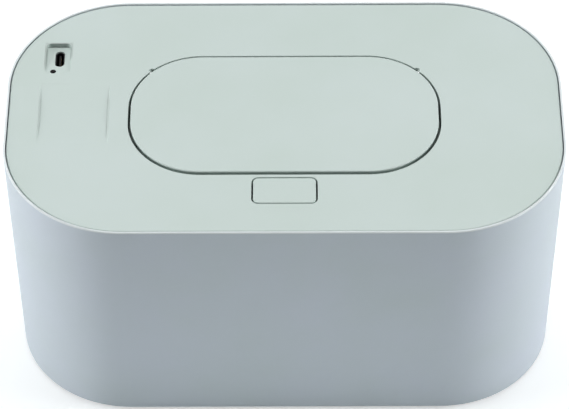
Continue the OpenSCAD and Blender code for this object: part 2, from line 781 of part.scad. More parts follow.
module control_board() {
    connector_h = 3.4;
    color(board_colour) union() {
        difference() {
            translate([board_x, board_y, 0])
                slab(board_w / 2 - board_r, board_l / 2 - board_r, board_r, board_z, board_top);
            board_bosses() post(0, 0, board_z - 1, board_top + 1, board_screw_r + screw_gap);
        }
        translate([connector_x - 2, connector_y - connector_l / 2, board_top - tiny])
            cube([4.5, connector_l, connector_h]);
        translate([touch_x - 3, connector_y - 3, board_top - tiny]) cube([5, 6, 1.5]);
        translate([touch_x + 3, touch_y + 13, board_top - tiny]) cube([4, 4, 1]);
        post(touch_x + 7, touch_y + 11, board_top - tiny, board_top + 5.5, 2);
    }
}

module board_screws() {
    color(steel_colour) board_bosses() screw_up(board_z, 1.9, 1.2, board_screw_r, 6.5);
}

module usb_socket() {
    color([0.22, 0.23, 0.24]) translate([socket_x, socket_y, 0]) difference() {
        usb_outline(0, board_top, socket_top);
        usb_outline(-usb_sheet, board_top - 1, recess_z + 1);
    }
}

module usb_tongue() {
    tongue_l = 6.69;
    tongue_w = 0.7;
    tongue_in = 0.5;
    color("black") translate([socket_x, socket_y, 0]) union() {
        usb_outline(-usb_sheet - 0.02, board_top, board_top + 1.4);
        translate([-tongue_w / 2, -tongue_l / 2, board_top])
            cube([tongue_w, tongue_l, socket_top - tongue_in - board_top]);
    }
}

module indicator_led() {
    color("white") translate([lens_x - 1.2, lens_y - 1.2, board_top]) cube([2.4, 2.4, 1.1]);
}

module indicator_lens() {
    lens_r = lens_d / 2;
    dome = 0.12;
    color([0.08, 0.09, 0.10]) translate([lens_x, lens_y, 0]) rotate_extrude() polygon([
        [0, board_top + 1.3], [lens_r, board_top + 1.3], [lens_r, lens_top - dome],
        [lens_r * 0.6, lens_top - dome * 0.3], [0, lens_top]]);
}

// Contact spring from the board up to the underside of the touch area
module touch_electrode() {
    plate_r = 6;
    disc_t = 0.4;
    coil_r = 4;
    wire_r = 0.25;
    color(steel_colour) translate([touch_x, touch_y, 0]) union() {
        post(0, 0, z_plate - disc_t, z_plate, plate_r);
        wire(coil_path(coil_r, board_top + wire_r, z_plate - disc_t - wire_r / 2, 4, 14),
            wire_r, 6, [0, 0, 1]);
    }
}

// Leads inside the cover, from the board's connector: to the fuse, from it to the film, and back
module heater_leads() {
    plug = [connector_x + 2.5, connector_y - 2.6, board_top + 1.6];
    back = plug + [0, 2.6, 0];
    fuse_end = [fuse_x - fuse_l / 2 - 1.5, fuse_y, film_top + fuse_r];
    film_x = fuse_x + fuse_l / 2 + 3.9;
    return_x = fuse_x - fuse_l / 2 - 4.6;
    return_y = fuse_y - 1.8;
    lead_up = [0.2, 1, 0.1];
    color(wire_colour) union() {
        wire([plug, plug + [1.5, 0, 0], plug + [2.6, -0.6, -1], plug + [3.1, -1.5, -3],
            [plug[0] + 4.2, plug[1] - 3.5, lead_run_z + 0.6], [plug[0] + 8, plug[1] - 8, lead_run_z],
            [sensor_x, sensor_y + 4.5, lead_run_z], [sensor_x + 7, sensor_y + 1.8, lead_run_z],
            fuse_end + [-2.6, 0.2, 0.5],
            fuse_end + [-1.2, 0, 0], fuse_end], lead_r, 8, lead_up);
        wire([[fuse_x + fuse_l / 2 + 1.5, fuse_y, film_top + fuse_r],
            [fuse_x + fuse_l / 2 + 2.4, fuse_y, film_top + fuse_r],
            [film_x - 0.3, fuse_y, film_top + fuse_r - 0.5], [film_x, fuse_y, film_top + 0.6],
            [film_x, fuse_y, film_top]], lead_r, 8, [0, 1, 0]);
        wire([back, back + [1.2, 0, 0], back + [1.8, -0.5, -1], back + [2, -1.2, -3],
            [back[0] + 1.9, back[1] - 3.4, lead_run_z + 0.6], [back[0] + 3, back[1] - 6.8, lead_run_z],
            [back[0] + 6.6, back[1] - 11.2, lead_run_z],
            [sensor_x - 1.4, sensor_y + 3, lead_run_z], [sensor_x + 6.1, sensor_y - 0.6, lead_run_z],
            [return_x - 1.2, return_y + 0.2, lead_run_z - 0.2], [return_x - 0.2, return_y, lead_run_z - 1],
            [return_x, return_y, film_top + 0.8], [return_x, return_y, film_top]], lead_r, 8, lead_up);
    }
}

module sensor_lead() {
    plug = [connector_x + 2.5, connector_y + 2.6, board_top + 1.6];
    color("white") wire([plug, plug + [1.2, 0, 0], plug + [1.9, -0.6, -1], plug + [2, -1.5, -3],
        [plug[0] + 0.2, plug[1] - 5, lead_run_z + 0.6], [plug[0], plug[1] - 10, lead_run_z],
        [plug[0] + 2.2, plug[1] - 16, lead_run_z], [plug[0] + 7.6, sensor_y, lead_run_z],
        [sensor_x - 5, sensor_y, lead_run_z - 0.3], [sensor_x - 3.2, sensor_y, film_top + sensor_r],
        [sensor_x - 2, sensor_y, film_top + sensor_r]],
        lead_r, 8, [0.2, 1, 0.1]);
}

module button_spring() {
    half = spring_wire / 2;
    color(steel_colour) translate([0, button_y, 0])
        wire(coil_path(spring_r, spring_z0 + half, spring_z1 - half, 5, 12), half, 6, [0, 0, 1]);
}

// Flip lid: skin with a rounded edge, stiffening rim in front of the hinge, hinge blocks with bores
module flip_lid() {
    block_z = axis_z - 1.8;
    color(cover_colour) difference() {
        union() {
            translate([0, lid_y, 0]) solid_sweep(lid_cx, lid_cy, lid_under, z_top) polygon(concat(
                [[0, lid_under], [lid_r - lid_rim_in, lid_under], [lid_r, z_top - lid_edge_t]],
                arc([lid_r - lid_round, z_top - lid_round], lid_round, 0, 90, 5),
                [[0, z_top]]));
            difference() {
                translate([0, lid_y, 0])
                    ring(lid_cx, lid_cy, lid_rim_edge - lid_rim_t, lid_rim_edge, liner_under + 0.2,
                        lid_under + tiny);
                translate([-lid_l, axis_y - 5, z_well]) cube([2 * lid_l, lid_d, z_top]);
            }
            on_sides() translate([knuckle_x0, axis_y - knuckle_d / 2 - 0.3, block_z])
                cube([knuckle_l, knuckle_d, lid_under - block_z + tiny]);
        }
        on_sides() x_cylinder(knuckle_x0 - 1, lid_cross_x + 2, axis_y, axis_z, bore_d / 2);
    }
}

// Inner panel of the lid, with the groove for the seal and the catch at the front
module lid_liner() {
    catch_y = lid_front + 2;
    catch_w = 6;
    barb_tip = nose_tip + barb_gap;
    barb_z = nose_z0 - 0.3;
    color(inner_colour) difference() {
        union() {
            difference() {
                translate([0, lid_y, 0])
                    slab(lid_cx, lid_cy, lid_rim_edge - lid_rim_t - fit_gap, liner_under, lid_under);
                translate([-lid_l, axis_y - 5.3, liner_under - 1]) cube([2 * lid_l, lid_d, liner_t + 2]);
            }
            translate([-catch_w / 2, 0, 0]) rotate([90, 0, 90]) linear_extrude(catch_w) polygon([
                [catch_y + 0.5, liner_under + tiny], [catch_y + 2.4, liner_under + tiny],
                [catch_y + 2.2, barb_z - 1.3], [catch_y + 0.4, barb_z - 1.3], [barb_tip, barb_z - 0.4],
                [barb_tip, barb_z], [catch_y + 0.5, barb_z]]);
        }
        translate([0, port_y, 0])
            ring(port_cx, port_cy, port_r - seal_in, port_r + seal_out, liner_under - 1,
                liner_under + seal_groove);
    }
}

module lid_seal() {
    edge_r = 0.6;
    x0 = port_r - seal_in + press_gap;
    x1 = port_r + seal_out - press_gap;
    z0 = z_collar + fit_gap;
    z1 = liner_under + seal_groove;
    color("silver") translate([0, port_y, 0]) sweep(port_cx, port_cy) polygon(concat([[x0, z1]],
        arc([x0 + edge_r, z0 + edge_r], edge_r, 180, 270, 4),
        arc([x1 - edge_r, z0 + edge_r], edge_r, 270, 360, 4), [[x1, z1]]));
}

// Push button: hollow cap, two legs and the studs that run in the latch's slanted slots
module release_button() {
    edge_r = 0.5;
    leg_w = 4;
    leg_z = stud_z - stud_r - 0.3;
    cx = button_l / 2 - button_r;
    cy = button_d / 2 - button_r;
    color(cover_colour) translate([0, button_y, 0]) union() {
        solid_sweep(cx, cy, spring_z1, z_top) polygon(concat(
            [[0, spring_z1], [button_r, spring_z1]],
            arc([button_r - edge_r, z_top - edge_r], edge_r, 0, 90, 4),
            [[0, z_top]]));
        ring(cx, cy, button_r - 1.2, button_r, spring_z1 - button_skirt, spring_z1 + tiny);
        for (s = [0, 1]) mirror([s, 0, 0]) {
            translate([leg_in, -leg_w / 2, leg_z]) cube([leg_t, leg_w, spring_z1 - leg_z + tiny]);
            x_cylinder(cheek_in + 0.2, leg_in + tiny, 0, stud_z, stud_r);
        }
        post(0, 0, spring_z1 - 1.2, spring_z1 + tiny, spring_core_r);
    }
}

// Latch: a sliding frame whose two cheeks have slots at 45 degrees, with the nose at its rear end
module latch_slider() {
    cheek_front = button_y - 3.1;
    foot_x = cheek_out + 2;
    bridge_t = 1.3;
    window_x = cheek_in - 0.8;
    slot_r = stud_r + 2 * press_gap;
    color([0.55, 0.58, 0.60]) difference() {
        union() {
            translate([-foot_x, latch_front, latch_z])
                cube([2 * foot_x, latch_back - latch_front, latch_plate]);
            for (s = [0, 1]) mirror([s, 0, 0]) translate([cheek_in, cheek_front, latch_z])
                cube([cheek_t, latch_back - cheek_front, cheek_top - latch_z]);
            translate([-cheek_out, latch_back - 0.1, latch_z])
                cube([2 * cheek_out, bridge_t, cheek_top - latch_z]);
            translate([-nose_w / 2, 0, 0]) rotate([90, 0, 90]) linear_extrude(nose_w) polygon([
                [latch_back + 1, nose_z0], [nose_tip, nose_z0], [nose_tip, nose_z0 + 0.5],
                [nose_tip - 1.1, cheek_top], [latch_back + 1, cheek_top]]);
        }
        translate([-window_x, button_y - 3.2, latch_z - 1])
            cube([2 * window_x, latch_back - button_y + 3.1, latch_plate + 2]);
        for (s = [0, 1]) mirror([s, 0, 0]) {
            x_cylinder(cheek_in - 1, cheek_out + 1, button_y, stud_z, slot_r);
            x_cylinder(cheek_in - 1, cheek_out + 1, button_y + button_travel, stud_z - button_travel,
                slot_r);
            translate([cheek_in - 1, button_y, stud_z]) rotate([-45, 0, 0])
                translate([0, 0, -slot_r + tiny])
                    cube([cheek_t + 2, button_travel * sqrt(2), 2 * slot_r - 2 * tiny]);
        }
    }
}

outer_shell();
insulation_sleeve();
inner_tub();
rubber_feet();
top_cover();
cover_base();
cover_gasket();
cover_screws();
hinge_pins();
lid_springs();
heating_plate();
heater_film();
plate_screws();
thermistor();
thermal_fuse();
control_board();
board_screws();
usb_socket();
usb_tongue();
indicator_led();
indicator_lens();
touch_electrode();
heater_leads();
sensor_lead();
button_spring();
flip_lid();
lid_liner();
lid_seal();
release_button();
latch_slider();
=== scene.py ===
"""The baby wipe warmer's looks round the fixed frame: materials, small parts, floor, light and camera."""

import json
import math
from collections import namedtuple

import bmesh
import bpy
from mathutils import Matrix, Vector


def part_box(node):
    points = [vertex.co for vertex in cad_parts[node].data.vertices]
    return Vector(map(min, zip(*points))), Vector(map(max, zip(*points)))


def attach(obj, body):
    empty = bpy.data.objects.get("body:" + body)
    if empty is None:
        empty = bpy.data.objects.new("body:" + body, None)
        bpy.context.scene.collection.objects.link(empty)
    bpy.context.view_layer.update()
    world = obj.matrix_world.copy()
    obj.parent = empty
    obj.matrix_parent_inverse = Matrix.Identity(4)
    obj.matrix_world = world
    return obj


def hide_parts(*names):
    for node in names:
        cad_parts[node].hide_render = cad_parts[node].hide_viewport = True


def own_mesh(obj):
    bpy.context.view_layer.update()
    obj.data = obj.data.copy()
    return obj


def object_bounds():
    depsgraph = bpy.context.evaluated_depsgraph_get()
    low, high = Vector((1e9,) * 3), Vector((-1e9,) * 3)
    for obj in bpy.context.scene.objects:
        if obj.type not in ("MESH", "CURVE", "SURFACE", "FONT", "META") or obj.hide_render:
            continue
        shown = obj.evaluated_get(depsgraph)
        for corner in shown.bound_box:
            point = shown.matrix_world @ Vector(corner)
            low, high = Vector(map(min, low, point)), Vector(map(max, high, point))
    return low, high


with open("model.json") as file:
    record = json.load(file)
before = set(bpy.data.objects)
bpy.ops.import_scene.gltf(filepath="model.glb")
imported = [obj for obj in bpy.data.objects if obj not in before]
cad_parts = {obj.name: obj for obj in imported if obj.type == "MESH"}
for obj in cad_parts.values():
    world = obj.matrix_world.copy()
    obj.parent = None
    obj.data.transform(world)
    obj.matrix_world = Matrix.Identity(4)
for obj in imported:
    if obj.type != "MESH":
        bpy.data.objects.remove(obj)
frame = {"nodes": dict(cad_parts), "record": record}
CAD_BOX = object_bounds()
NODES = frame["nodes"]
SCENE = bpy.context.scene
MM = 0.001
WHITE = (1, 1, 1, 1)
X, Y, Z = 0, 1, 2

# Sizes and places

# The shell's rim is the highest part
RIM_TOP = CAD_BOX[1][2]
# The socket's tongue stands on the board's top face
BOARD_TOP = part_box("usb_tongue")[0][2]
# The touch area's middle, and its length between its side edges
TOUCH_X, TOUCH_Y, TOUCH_L = -77.5 * MM, 0.8 * MM, 26.2 * MM
# The foot of the recess's left, right and rear wall
RECESS_LEFT, RECESS_RIGHT, RECESS_REAR = -89.1 * MM, -79.7 * MM, 37.7 * MM

# Node trees


class Nodes:
    """A node tree measured in one of the texture spaces, and short ways to add to it."""

    def __init__(self, tree, space):
        self.tree = tree
        self.tree.nodes.clear()
        self.place = self.node("ShaderNodeTexCoord").outputs[space]

    def node(self, kind, **settings):
        """A new node with its settings."""
        n = self.tree.nodes.new(kind)
        for key, value in settings.items():
            setattr(n, key, value)
        return n

    def link(self, a, b):
        """Joins an output to an input."""
        self.tree.links.new(a, b)

    def feed(self, socket, value):
        """Gives an input a number, a colour or another node's output."""
        if isinstance(value, (int, float, tuple)):
            socket.default_value = value
        else:
            self.link(value, socket)

    def ramp(self, value, low, high, to_low=0.0, to_high=1.0):
        """Spreads the values between low and high over to_low to to_high, and holds them there outside."""
        n = self.node("ShaderNodeMapRange")
        n.inputs["From Min"].default_value = low
        n.inputs["From Max"].default_value = high
        n.inputs["To Min"].default_value = to_low
        n.inputs["To Max"].default_value = to_high
        self.link(value, n.inputs["Value"])
        return n.outputs["Result"]

    def math(self, operation, a, b=0):
        """One sum of two numbers, such as ADD or MULTIPLY."""
        n = self.node("ShaderNodeMath", operation=operation)
        self.feed(n.inputs[0], a)
        self.feed(n.inputs[1], b)
        return n.outputs[0]

    def mix(self, share, a, b):
        """Colour a where share is 0 and colour b where it is 1."""
        n = self.node("ShaderNodeMix", data_type="RGBA")
        for k, value in ((0, share), (6, a), (7, b)):
            self.feed(n.inputs[k], value)
        return n.outputs[2]

    def axis(self, k):
        """The place along the axis X, Y or Z."""
        n = self.node("ShaderNodeSeparateXYZ")
        self.link(self.place, n.inputs[0])
        return n.outputs[k]


class Surface(Nodes):
    """A material with one shader, measured in the object's own metres."""

    def __init__(self, name):
        self.material = bpy.data.materials.new(name)
        self.material.use_nodes = True
        super().__init__(self.material.node_tree, "Object")
        out = self.node("ShaderNodeOutputMaterial")
        self.shader = self.node("ShaderNodeBsdfPrincipled")
        self.link(self.shader.outputs[0], out.inputs["Surface"])

    def put(self, name, value):
        """Sets one of the shader's inputs to a value, or drives it by a node's output."""
        self.feed(self.shader.inputs[name], value)

    def noise(self, scale, detail=3.0, rough=0.5, stretch=(1, 1, 1), offset=(0, 0, 0)):
        """Noise with scale in waves per metre."""
        n = self.node("ShaderNodeTexNoise")
        n.inputs["Scale"].default_value = scale
        n.inputs["Detail"].default_value = detail
        n.inputs["Roughness"].default_value = rough
        moved = self.node("ShaderNodeMapping")
        moved.inputs["Scale"].default_value = stretch
        moved.inputs["Location"].default_value = offset
        self.link(self.place, moved.inputs["Vector"])
        self.link(moved.outputs[0], n.inputs["Vector"])
        return n.outputs["Fac"]

    def cells(self, scale, feature="F1"):
        """Cells, scale of them per metre: the distance to their middle or to their edge."""
        n = self.node("ShaderNodeTexVoronoi", feature=feature)
        n.inputs["Scale"].default_value = scale
        self.link(self.place, n.inputs["Vector"])
        return n.outputs["Distance"]

    def bump(self, height, strength, distance, below=None):
        """A bump of a distance in metres, on top of the bump below."""
        n = self.node("ShaderNodeBump")
        n.inputs["Strength"].default_value = strength
        n.inputs["Distance"].default_value = distance
        self.link(height, n.inputs["Height"])
        if below is not None:
            self.link(below, n.inputs["Normal"])
        return n.outputs[0]


# Materials

# A line of painted shade: its middle, half its size in x and y, and how much it darkens the surface
ShadeLine = namedtuple("ShadeLine", "x y half_x half_y depth")
# A painted highlight along an edge: the height above which it is painted paler, and its colour there
RimHighlight = namedtuple("RimHighlight", "z colour")


def srgb(r, g, b):
    """A colour given as it is seen, in parts of 255, as linear values."""
    def lin(v):
        v /= 255.0
        return v / 12.92 if v <= 0.04045 else ((v + 0.055) / 1.055) ** 2.4
    return (lin(r), lin(g), lin(b), 1.0)


def shade(colour, k):
    """The colour made lighter or darker k times."""
    return (colour[0] * k, colour[1] * k, colour[2] * k, 1.0)


def painted_shade_line(t, tone, line, shade_colour):
    """The tone with painted shade along one line, which fades over its outer half."""
    off_x = t.math("ABSOLUTE", t.math("SUBTRACT", t.axis(X), line.x))
    off_y = t.math("ABSOLUTE", t.math("SUBTRACT", t.axis(Y), line.y))
    near_x = t.ramp(off_x, 0.5 * line.half_x, line.half_x, line.depth, 0)
    near_y = t.ramp(off_y, 0.5 * line.half_y, line.half_y, 1, 0)
    return t.mix(t.math("MULTIPLY", near_x, near_y), tone, shade_colour)


def painted_rim_highlight(t, tone, rim):
    """The tone with an uneven painted highlight on the rim above a height."""
    fade = 0.15 * MM
    above = t.ramp(t.axis(Z), rim.z - fade, rim.z)
    uneven = t.ramp(t.noise(45, detail=3, rough=0.6), 0.3, 0.7, 0.8, 1.0)
    return t.mix(t.math("MULTIPLY", above, uneven), tone, rim.colour)


def plastic(name, colour, rough, grain, spread, tint=None, specular=0.5, dust_and_shade=(), rim=None):
    """Moulded plastic: fine eroded grain, clouded colour and gloss, sparse flecks and rubbed spots.

    The colour clouds over to the tint, or else to a lighter shade, as far as spread says.
    """
    t = Surface(name)
    cloud = t.noise(26, detail=3, rough=0.55)
    fleck = t.noise(900, detail=2, rough=0.6)
    rubbed = t.ramp(t.noise(60, detail=4, rough=0.65, offset=(3, 7, 1)), 0.58, 0.74)
    tone = t.mix(t.ramp(cloud, 0.32, 0.68), shade(colour, 1 - spread), tint or shade(colour, 1 + spread))
    tone = t.mix(t.ramp(fleck, 0.62, 0.74, 0, 0.35), tone, shade(colour, 1 + 1.6 * spread))
    # Painted shade: the lines darken the tone towards this dark shade of the colour
    shade_colour = shade(colour, 0.1)
    for line in dust_and_shade:
        tone = painted_shade_line(t, tone, line, shade_colour)
    # Painted highlight: the rim is painted paler above a height
    if rim:
        tone = painted_rim_highlight(t, tone, rim)
    t.put("Base Color", tone)
    gloss = t.ramp(cloud, 0.3, 0.7, rough - 0.05, rough + 0.05)
    gloss = t.math("ADD", gloss, t.math("MULTIPLY", rubbed, -0.07))
    fine = t.ramp(t.noise(2600, detail=2, rough=0.5), 0.3, 0.7, -0.03, 0.03)
    t.put("Roughness", t.math("ADD", gloss, fine))
    t.put("Specular IOR Level", specular)
    pits = t.bump(t.cells(2300), grain, 0.04 * MM)
    skin = t.bump(t.noise(5200, detail=2, rough=0.6), grain, 0.03 * MM, pits)
    waves = t.noise(34, detail=2, rough=0.5, offset=(1, 2, 5))
    t.put("Normal", t.bump(waves, 0.12, 0.4 * MM, skin))
    return t.material


def metal(name, colour, rough, stretch=(1, 1, 1)):
    """Rolled or drawn metal: fine lines, longer where stretch is below 1, and stains in the gloss."""
    t = Surface(name)
    line = t.noise(1800, detail=3, rough=0.6, stretch=stretch)
    stain = t.noise(70, detail=4, rough=0.6)
    tone = t.mix(t.ramp(stain, 0.35, 0.7), shade(colour, 0.86), colour)
    t.put("Base Color", t.mix(t.ramp(line, 0.3, 0.7, 0, 0.4), tone, shade(colour, 1.08)))
    stained = t.ramp(stain, 0.3, 0.7, rough - 0.06, rough + 0.08)
    t.put("Roughness", t.math("ADD", stained, t.ramp(line, 0.3, 0.7, -0.06, 0.06)))
    t.put("Metallic", 1.0)
    t.put("Normal", t.bump(line, 0.25, 0.02 * MM))
    return t.material


def rubber(name, colour, rough, clear=0.0):
    """Rubber or silicone: dull, a little dusty, with a soft moulded skin."""
    t = Surface(name)
    dust_and_shade = t.ramp(t.noise(160, detail=5, rough=0.7), 0.5, 0.75)
    dust_colour = (0.8, 0.8, 0.78, 1)
    t.put("Base Color", t.mix(dust_and_shade, colour, t.mix(0.18, colour, dust_colour)))
    t.put("Roughness", t.ramp(t.noise(320, detail=3, rough=0.6), 0.3, 0.7, rough - 0.08, rough + 0.1))
    t.put("Subsurface Weight", clear)
    t.put("Subsurface Radius", (2 * MM, 2 * MM, 2 * MM))
    t.put("Normal", t.bump(t.noise(2600, detail=3, rough=0.6), 0.3, 0.04 * MM))
    return t.material


def foam(name, colour):
    """Closed cell foam: a skin of small cells."""
    t = Surface(name)
    cell = t.cells(900, "DISTANCE_TO_EDGE")
    t.put("Base Color", t.mix(t.ramp(cell, 0.0, 0.25), shade(colour, 0.86), colour))
    t.put("Roughness", t.ramp(t.noise(200), 0.3, 0.7, 0.72, 0.9))
    t.put("Normal", t.bump(cell, 0.5, 0.3 * MM))
    return t.material


def stripes(t, k, pitch, width, edge):
    """Lines of a width, a pitch apart along one axis, with a soft edge."""
    off = t.math("PINGPONG", t.axis(k), pitch / 2)
    return t.ramp(off, width / 2, width / 2 + edge, 1, 0)


def board(name, colour, top):
    """Circuit board: lacquer over copper tracks that run both ways, and dark parts above its top face."""
    t = Surface(name)
    pitch, track = 1.3 * MM, 0.22 * MM
    across, along = (stripes(t, k, pitch, track, 0.3 * track) for k in (X, Y))
    turn = t.ramp(t.noise(120, detail=1, rough=0.4, offset=(2, 5, 0)), 0.495, 0.505)
    other = t.math("SUBTRACT", 1.0, turn)
    tracks = t.math("ADD", t.math("MULTIPLY", across, turn), t.math("MULTIPLY", along, other))
    tracks = t.math("MULTIPLY", tracks, t.ramp(t.noise(70, detail=2, rough=0.5), 0.45, 0.5))
    lacquer = t.mix(t.ramp(t.noise(300), 0.3, 0.7), shade(colour, 0.9), shade(colour, 1.08))
    lacquer = t.mix(t.math("MULTIPLY", tracks, 0.7), lacquer, shade(colour, 1.9))
    part = t.ramp(t.axis(Z), top + 0.02 * MM, top + 0.06 * MM)
    case = t.mix(t.ramp(t.noise(900), 0.3, 0.7), srgb(28, 28, 31), srgb(38, 38, 41))
    t.put("Base Color", t.mix(part, lacquer, case))
    shine = t.ramp(t.noise(500), 0.3, 0.7, 0.24, 0.32)
    t.put("Roughness", t.math("ADD", shine, t.math("MULTIPLY", part, 0.25)))
    t.put("Normal", t.bump(tracks, 0.4, 0.04 * MM, t.bump(t.noise(2400), 0.1, 0.02 * MM)))
    return t.material


def film(name, colour, track_colour):
    """Heater film: a clear amber sheet over a track that runs to and fro."""
    t = Surface(name)
    pitch = 3.2 * MM
    line = t.ramp(t.math("PINGPONG", t.axis(X), pitch / 2), 0.26 * pitch, 0.3 * pitch)
    cloud = t.ramp(t.noise(60, detail=3, rough=0.6), 0.3, 0.7)
    sheet = t.mix(cloud, shade(colour, 0.92), shade(colour, 1.06))
    t.put("Base Color", t.mix(t.math("MULTIPLY", line, 0.75), sheet, track_colour))
    t.put("Roughness", t.ramp(t.noise(240, detail=3, rough=0.6), 0.3, 0.7, 0.18, 0.28))
    t.put("Normal", t.bump(line, 0.35, 0.05 * MM, t.bump(t.noise(700), 0.12, 0.04 * MM)))
    return t.material


# Painted shade along the side edges of the touch area, just inside them
TOUCH_REACH = TOUCH_L / 2 - 0.5 * MM
TOUCH_SHADE = [ShadeLine(TOUCH_X + k * TOUCH_REACH, TOUCH_Y, 0.65 * MM, 13.5 * MM, 0.24) for k in (-1, 1)]

# Painted shade in the corners at the foot of the recess's walls
RECESS_SHADE = [
    ShadeLine(RECESS_LEFT, 31 * MM, 0.7 * MM, 8 * MM, 0.35),
    ShadeLine(RECESS_RIGHT, 34 * MM, 0.7 * MM, 5 * MM, 0.25),
    ShadeLine((RECESS_LEFT + RECESS_RIGHT) / 2, RECESS_REAR, 5.2 * MM, 0.6 * MM, 0.4),
]

# Painted highlight: the shell's rim is painted paler along its top
SHELL_RIM_HIGHLIGHT = RimHighlight(RIM_TOP - 0.5 * MM, srgb(226, 233, 233))

MATERIALS = {
    "cover_plastic": plastic("cover_plastic", srgb(201, 215, 209), rough=0.5, grain=0.22, spread=0.018,
                             tint=srgb(203, 216, 212), dust_and_shade=TOUCH_SHADE + RECESS_SHADE),
    "shell_plastic": plastic("shell_plastic", srgb(197, 208, 213), rough=0.52, grain=0.22, spread=0.022,
                             tint=srgb(199, 208, 217), rim=SHELL_RIM_HIGHLIGHT),
    "inner_plastic": plastic("inner_plastic", srgb(226, 230, 228), rough=0.38, grain=0.15, spread=0.02),
    "latch_plastic": plastic("latch_plastic", srgb(150, 156, 160), rough=0.35, grain=0.1, spread=0.03),
    "black_plastic": plastic("black_plastic", srgb(17, 17, 19), rough=0.45, grain=0.1, spread=0.12,
                             specular=0.35),
    "white_plastic": plastic("white_plastic", srgb(236, 236, 232), rough=0.25, grain=0.05, spread=0.02),
    "dark_lens": plastic("dark_lens", srgb(10, 11, 12), rough=0.2, grain=0.02, spread=0.08, specular=0.3),
    "ceramic": plastic("ceramic", srgb(222, 217, 200), rough=0.3, grain=0.1, spread=0.03),
    "foam": foam("foam", srgb(238, 238, 242)),
    "rubber": rubber("rubber", srgb(58, 60, 62), rough=0.7),
    "silicone": rubber("silicone", srgb(204, 207, 206), rough=0.5, clear=0.25),
    "red_wire": rubber("red_wire", srgb(196, 36, 30), rough=0.45),
    "white_wire": rubber("white_wire", srgb(232, 232, 230), rough=0.45),
    "steel": metal("steel", srgb(196, 197, 199), rough=0.28),
    "dark_steel": metal("dark_steel", srgb(58, 59, 61), rough=0.5),
    "brass": metal("brass", srgb(214, 178, 98), rough=0.25),
    "aluminium": metal("aluminium", srgb(208, 209, 212), rough=0.34, stretch=(1, 0.04, 1)),
    "heater_film": film("heater_film", srgb(206, 132, 44), srgb(120, 72, 30)),
    "board": board("board", srgb(24, 96, 58), BOARD_TOP),
}


def finish_nodes():
    """Gives every CAD node the material of its slot in the record."""
    slots = {s["node"]: s["material_slot"] for s in frame["record"]["subparts"]}
    for name, obj in NODES.items():
        obj.data.materials.clear()
        obj.data.materials.append(MATERIALS[slots[name]])
        for p in obj.data.polygons:
            p.use_smooth = True
            p.material_index = 0


# Small parts


def mesh_object(name, b, material):
    """Makes an object of a bmesh."""
    mesh = bpy.data.meshes.new(name)
    b.to_mesh(mesh)
    b.free()
    obj = bpy.data.objects.new(name, mesh)
    SCENE.collection.objects.link(obj)
    mesh.materials.append(material)
    return obj


def add(name, b, material, body):
    """Makes a piece of a bmesh that rides on a body."""
    obj = mesh_object(name, b, MATERIALS[material])
    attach(obj, body)
    return obj


def block(b, low, high):
    """Adds a closed box between two corners to a bmesh."""
    for v in bmesh.ops.create_cube(b, size=1.0)["verts"]:
        v.co = Vector(low[k] + (v.co[k] + 0.5) * (high[k] - low[k]) for k in range(3))


def socket_contacts():
    """The twelve contacts on each face of the socket's tongue. Four of them reach nearer to its tip."""
    low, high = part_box("usb_tongue")
    cx, cy = (low[0] + high[0]) / 2, (low[1] + high[1]) / 2
    count, long_ones = 12, (0, 3, 8, 11)
    tongue_t, pitch, width, length = 0.7 * MM, 0.5 * MM, 0.26 * MM, 2.6 * MM
    proud, sunk = 0.03 * MM, 0.05 * MM
    near_tip, off_tip = 0.35 * MM, 0.75 * MM
    b = bmesh.new()
    for face in (-1, 1):
        x0, x1 = sorted(cx + face * (tongue_t / 2 + out) for out in (-sunk, proud))
        for i in range(count):
            y = cy + (i - (count - 1) / 2) * pitch
            z1 = high[2] - (near_tip if i in long_ones else off_tip)
            block(b, (x0, y - width / 2, z1 - length), (x1, y + width / 2, z1))
    bevel = add("socket_contacts", b, "brass", "cover").modifiers.new("edges", "BEVEL")
    bevel.width = 0.03 * MM
    bevel.segments = 2
    bevel.limit_method = "ANGLE"


def coil(b, middle, z0, z1, radius, wire, turns, steps=40, sides=14):
    """Adds a coil of round wire to a bmesh, with the wire's middle from z0 to z1."""
    # How much less the coil climbs at its ends than on average: 0 is even, 1 is level there
    flat = 0.55
    rings = []
    for i in range(turns * steps + 1):
        share, angle = i / (turns * steps), 2 * math.pi * i / steps
        z = z0 + (z1 - z0) * (share - flat * math.sin(2 * math.pi * share) / (2 * math.pi))
        out, up = Vector((math.cos(angle), math.sin(angle), 0)), Vector((0, 0, 1))
        core = Vector((*middle, z)) + radius * out
        rings.append([b.verts.new(core + wire * (math.cos(a) * out + math.sin(a) * up))
                      for a in (2 * math.pi * k / sides for k in range(sides))])
    for r0, r1 in zip(rings, rings[1:]):
        for k in range(sides):
            after = (k + 1) % sides
            b.faces.new((r0[k], r1[k], r1[after], r0[after]))
    b.faces.new(rings[0])
    b.faces.new(reversed(rings[-1]))
    bmesh.ops.recalc_face_normals(b, faces=b.faces[:])
    for f in b.faces:
        f.smooth = len(f.verts) != sides


def return_spring():
    """The button's spring as round wire with flatter end turns."""
    low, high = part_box("button_spring")
    joint = next(j for j in frame["record"]["behaviour"]["joints"] if j["name"] == "button_press")
    foot = joint["deforming_nodes"][0]["fixed_end_z_m"]
    cad_wire, wire = 0.3 * MM, 0.29 * MM
    cx, cy = (low[0] + high[0]) / 2, (low[1] + high[1]) / 2
    z0, z1 = foot + wire, high[2] - wire
    b = bmesh.new()
    coil(b, (cx, cy), z0, z1, (high[0] - low[0]) / 2 - cad_wire, wire, turns=5)
    obj = add("return_spring", b, "steel", "cover")
    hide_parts("button_spring")
    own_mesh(obj)


# Floor and room


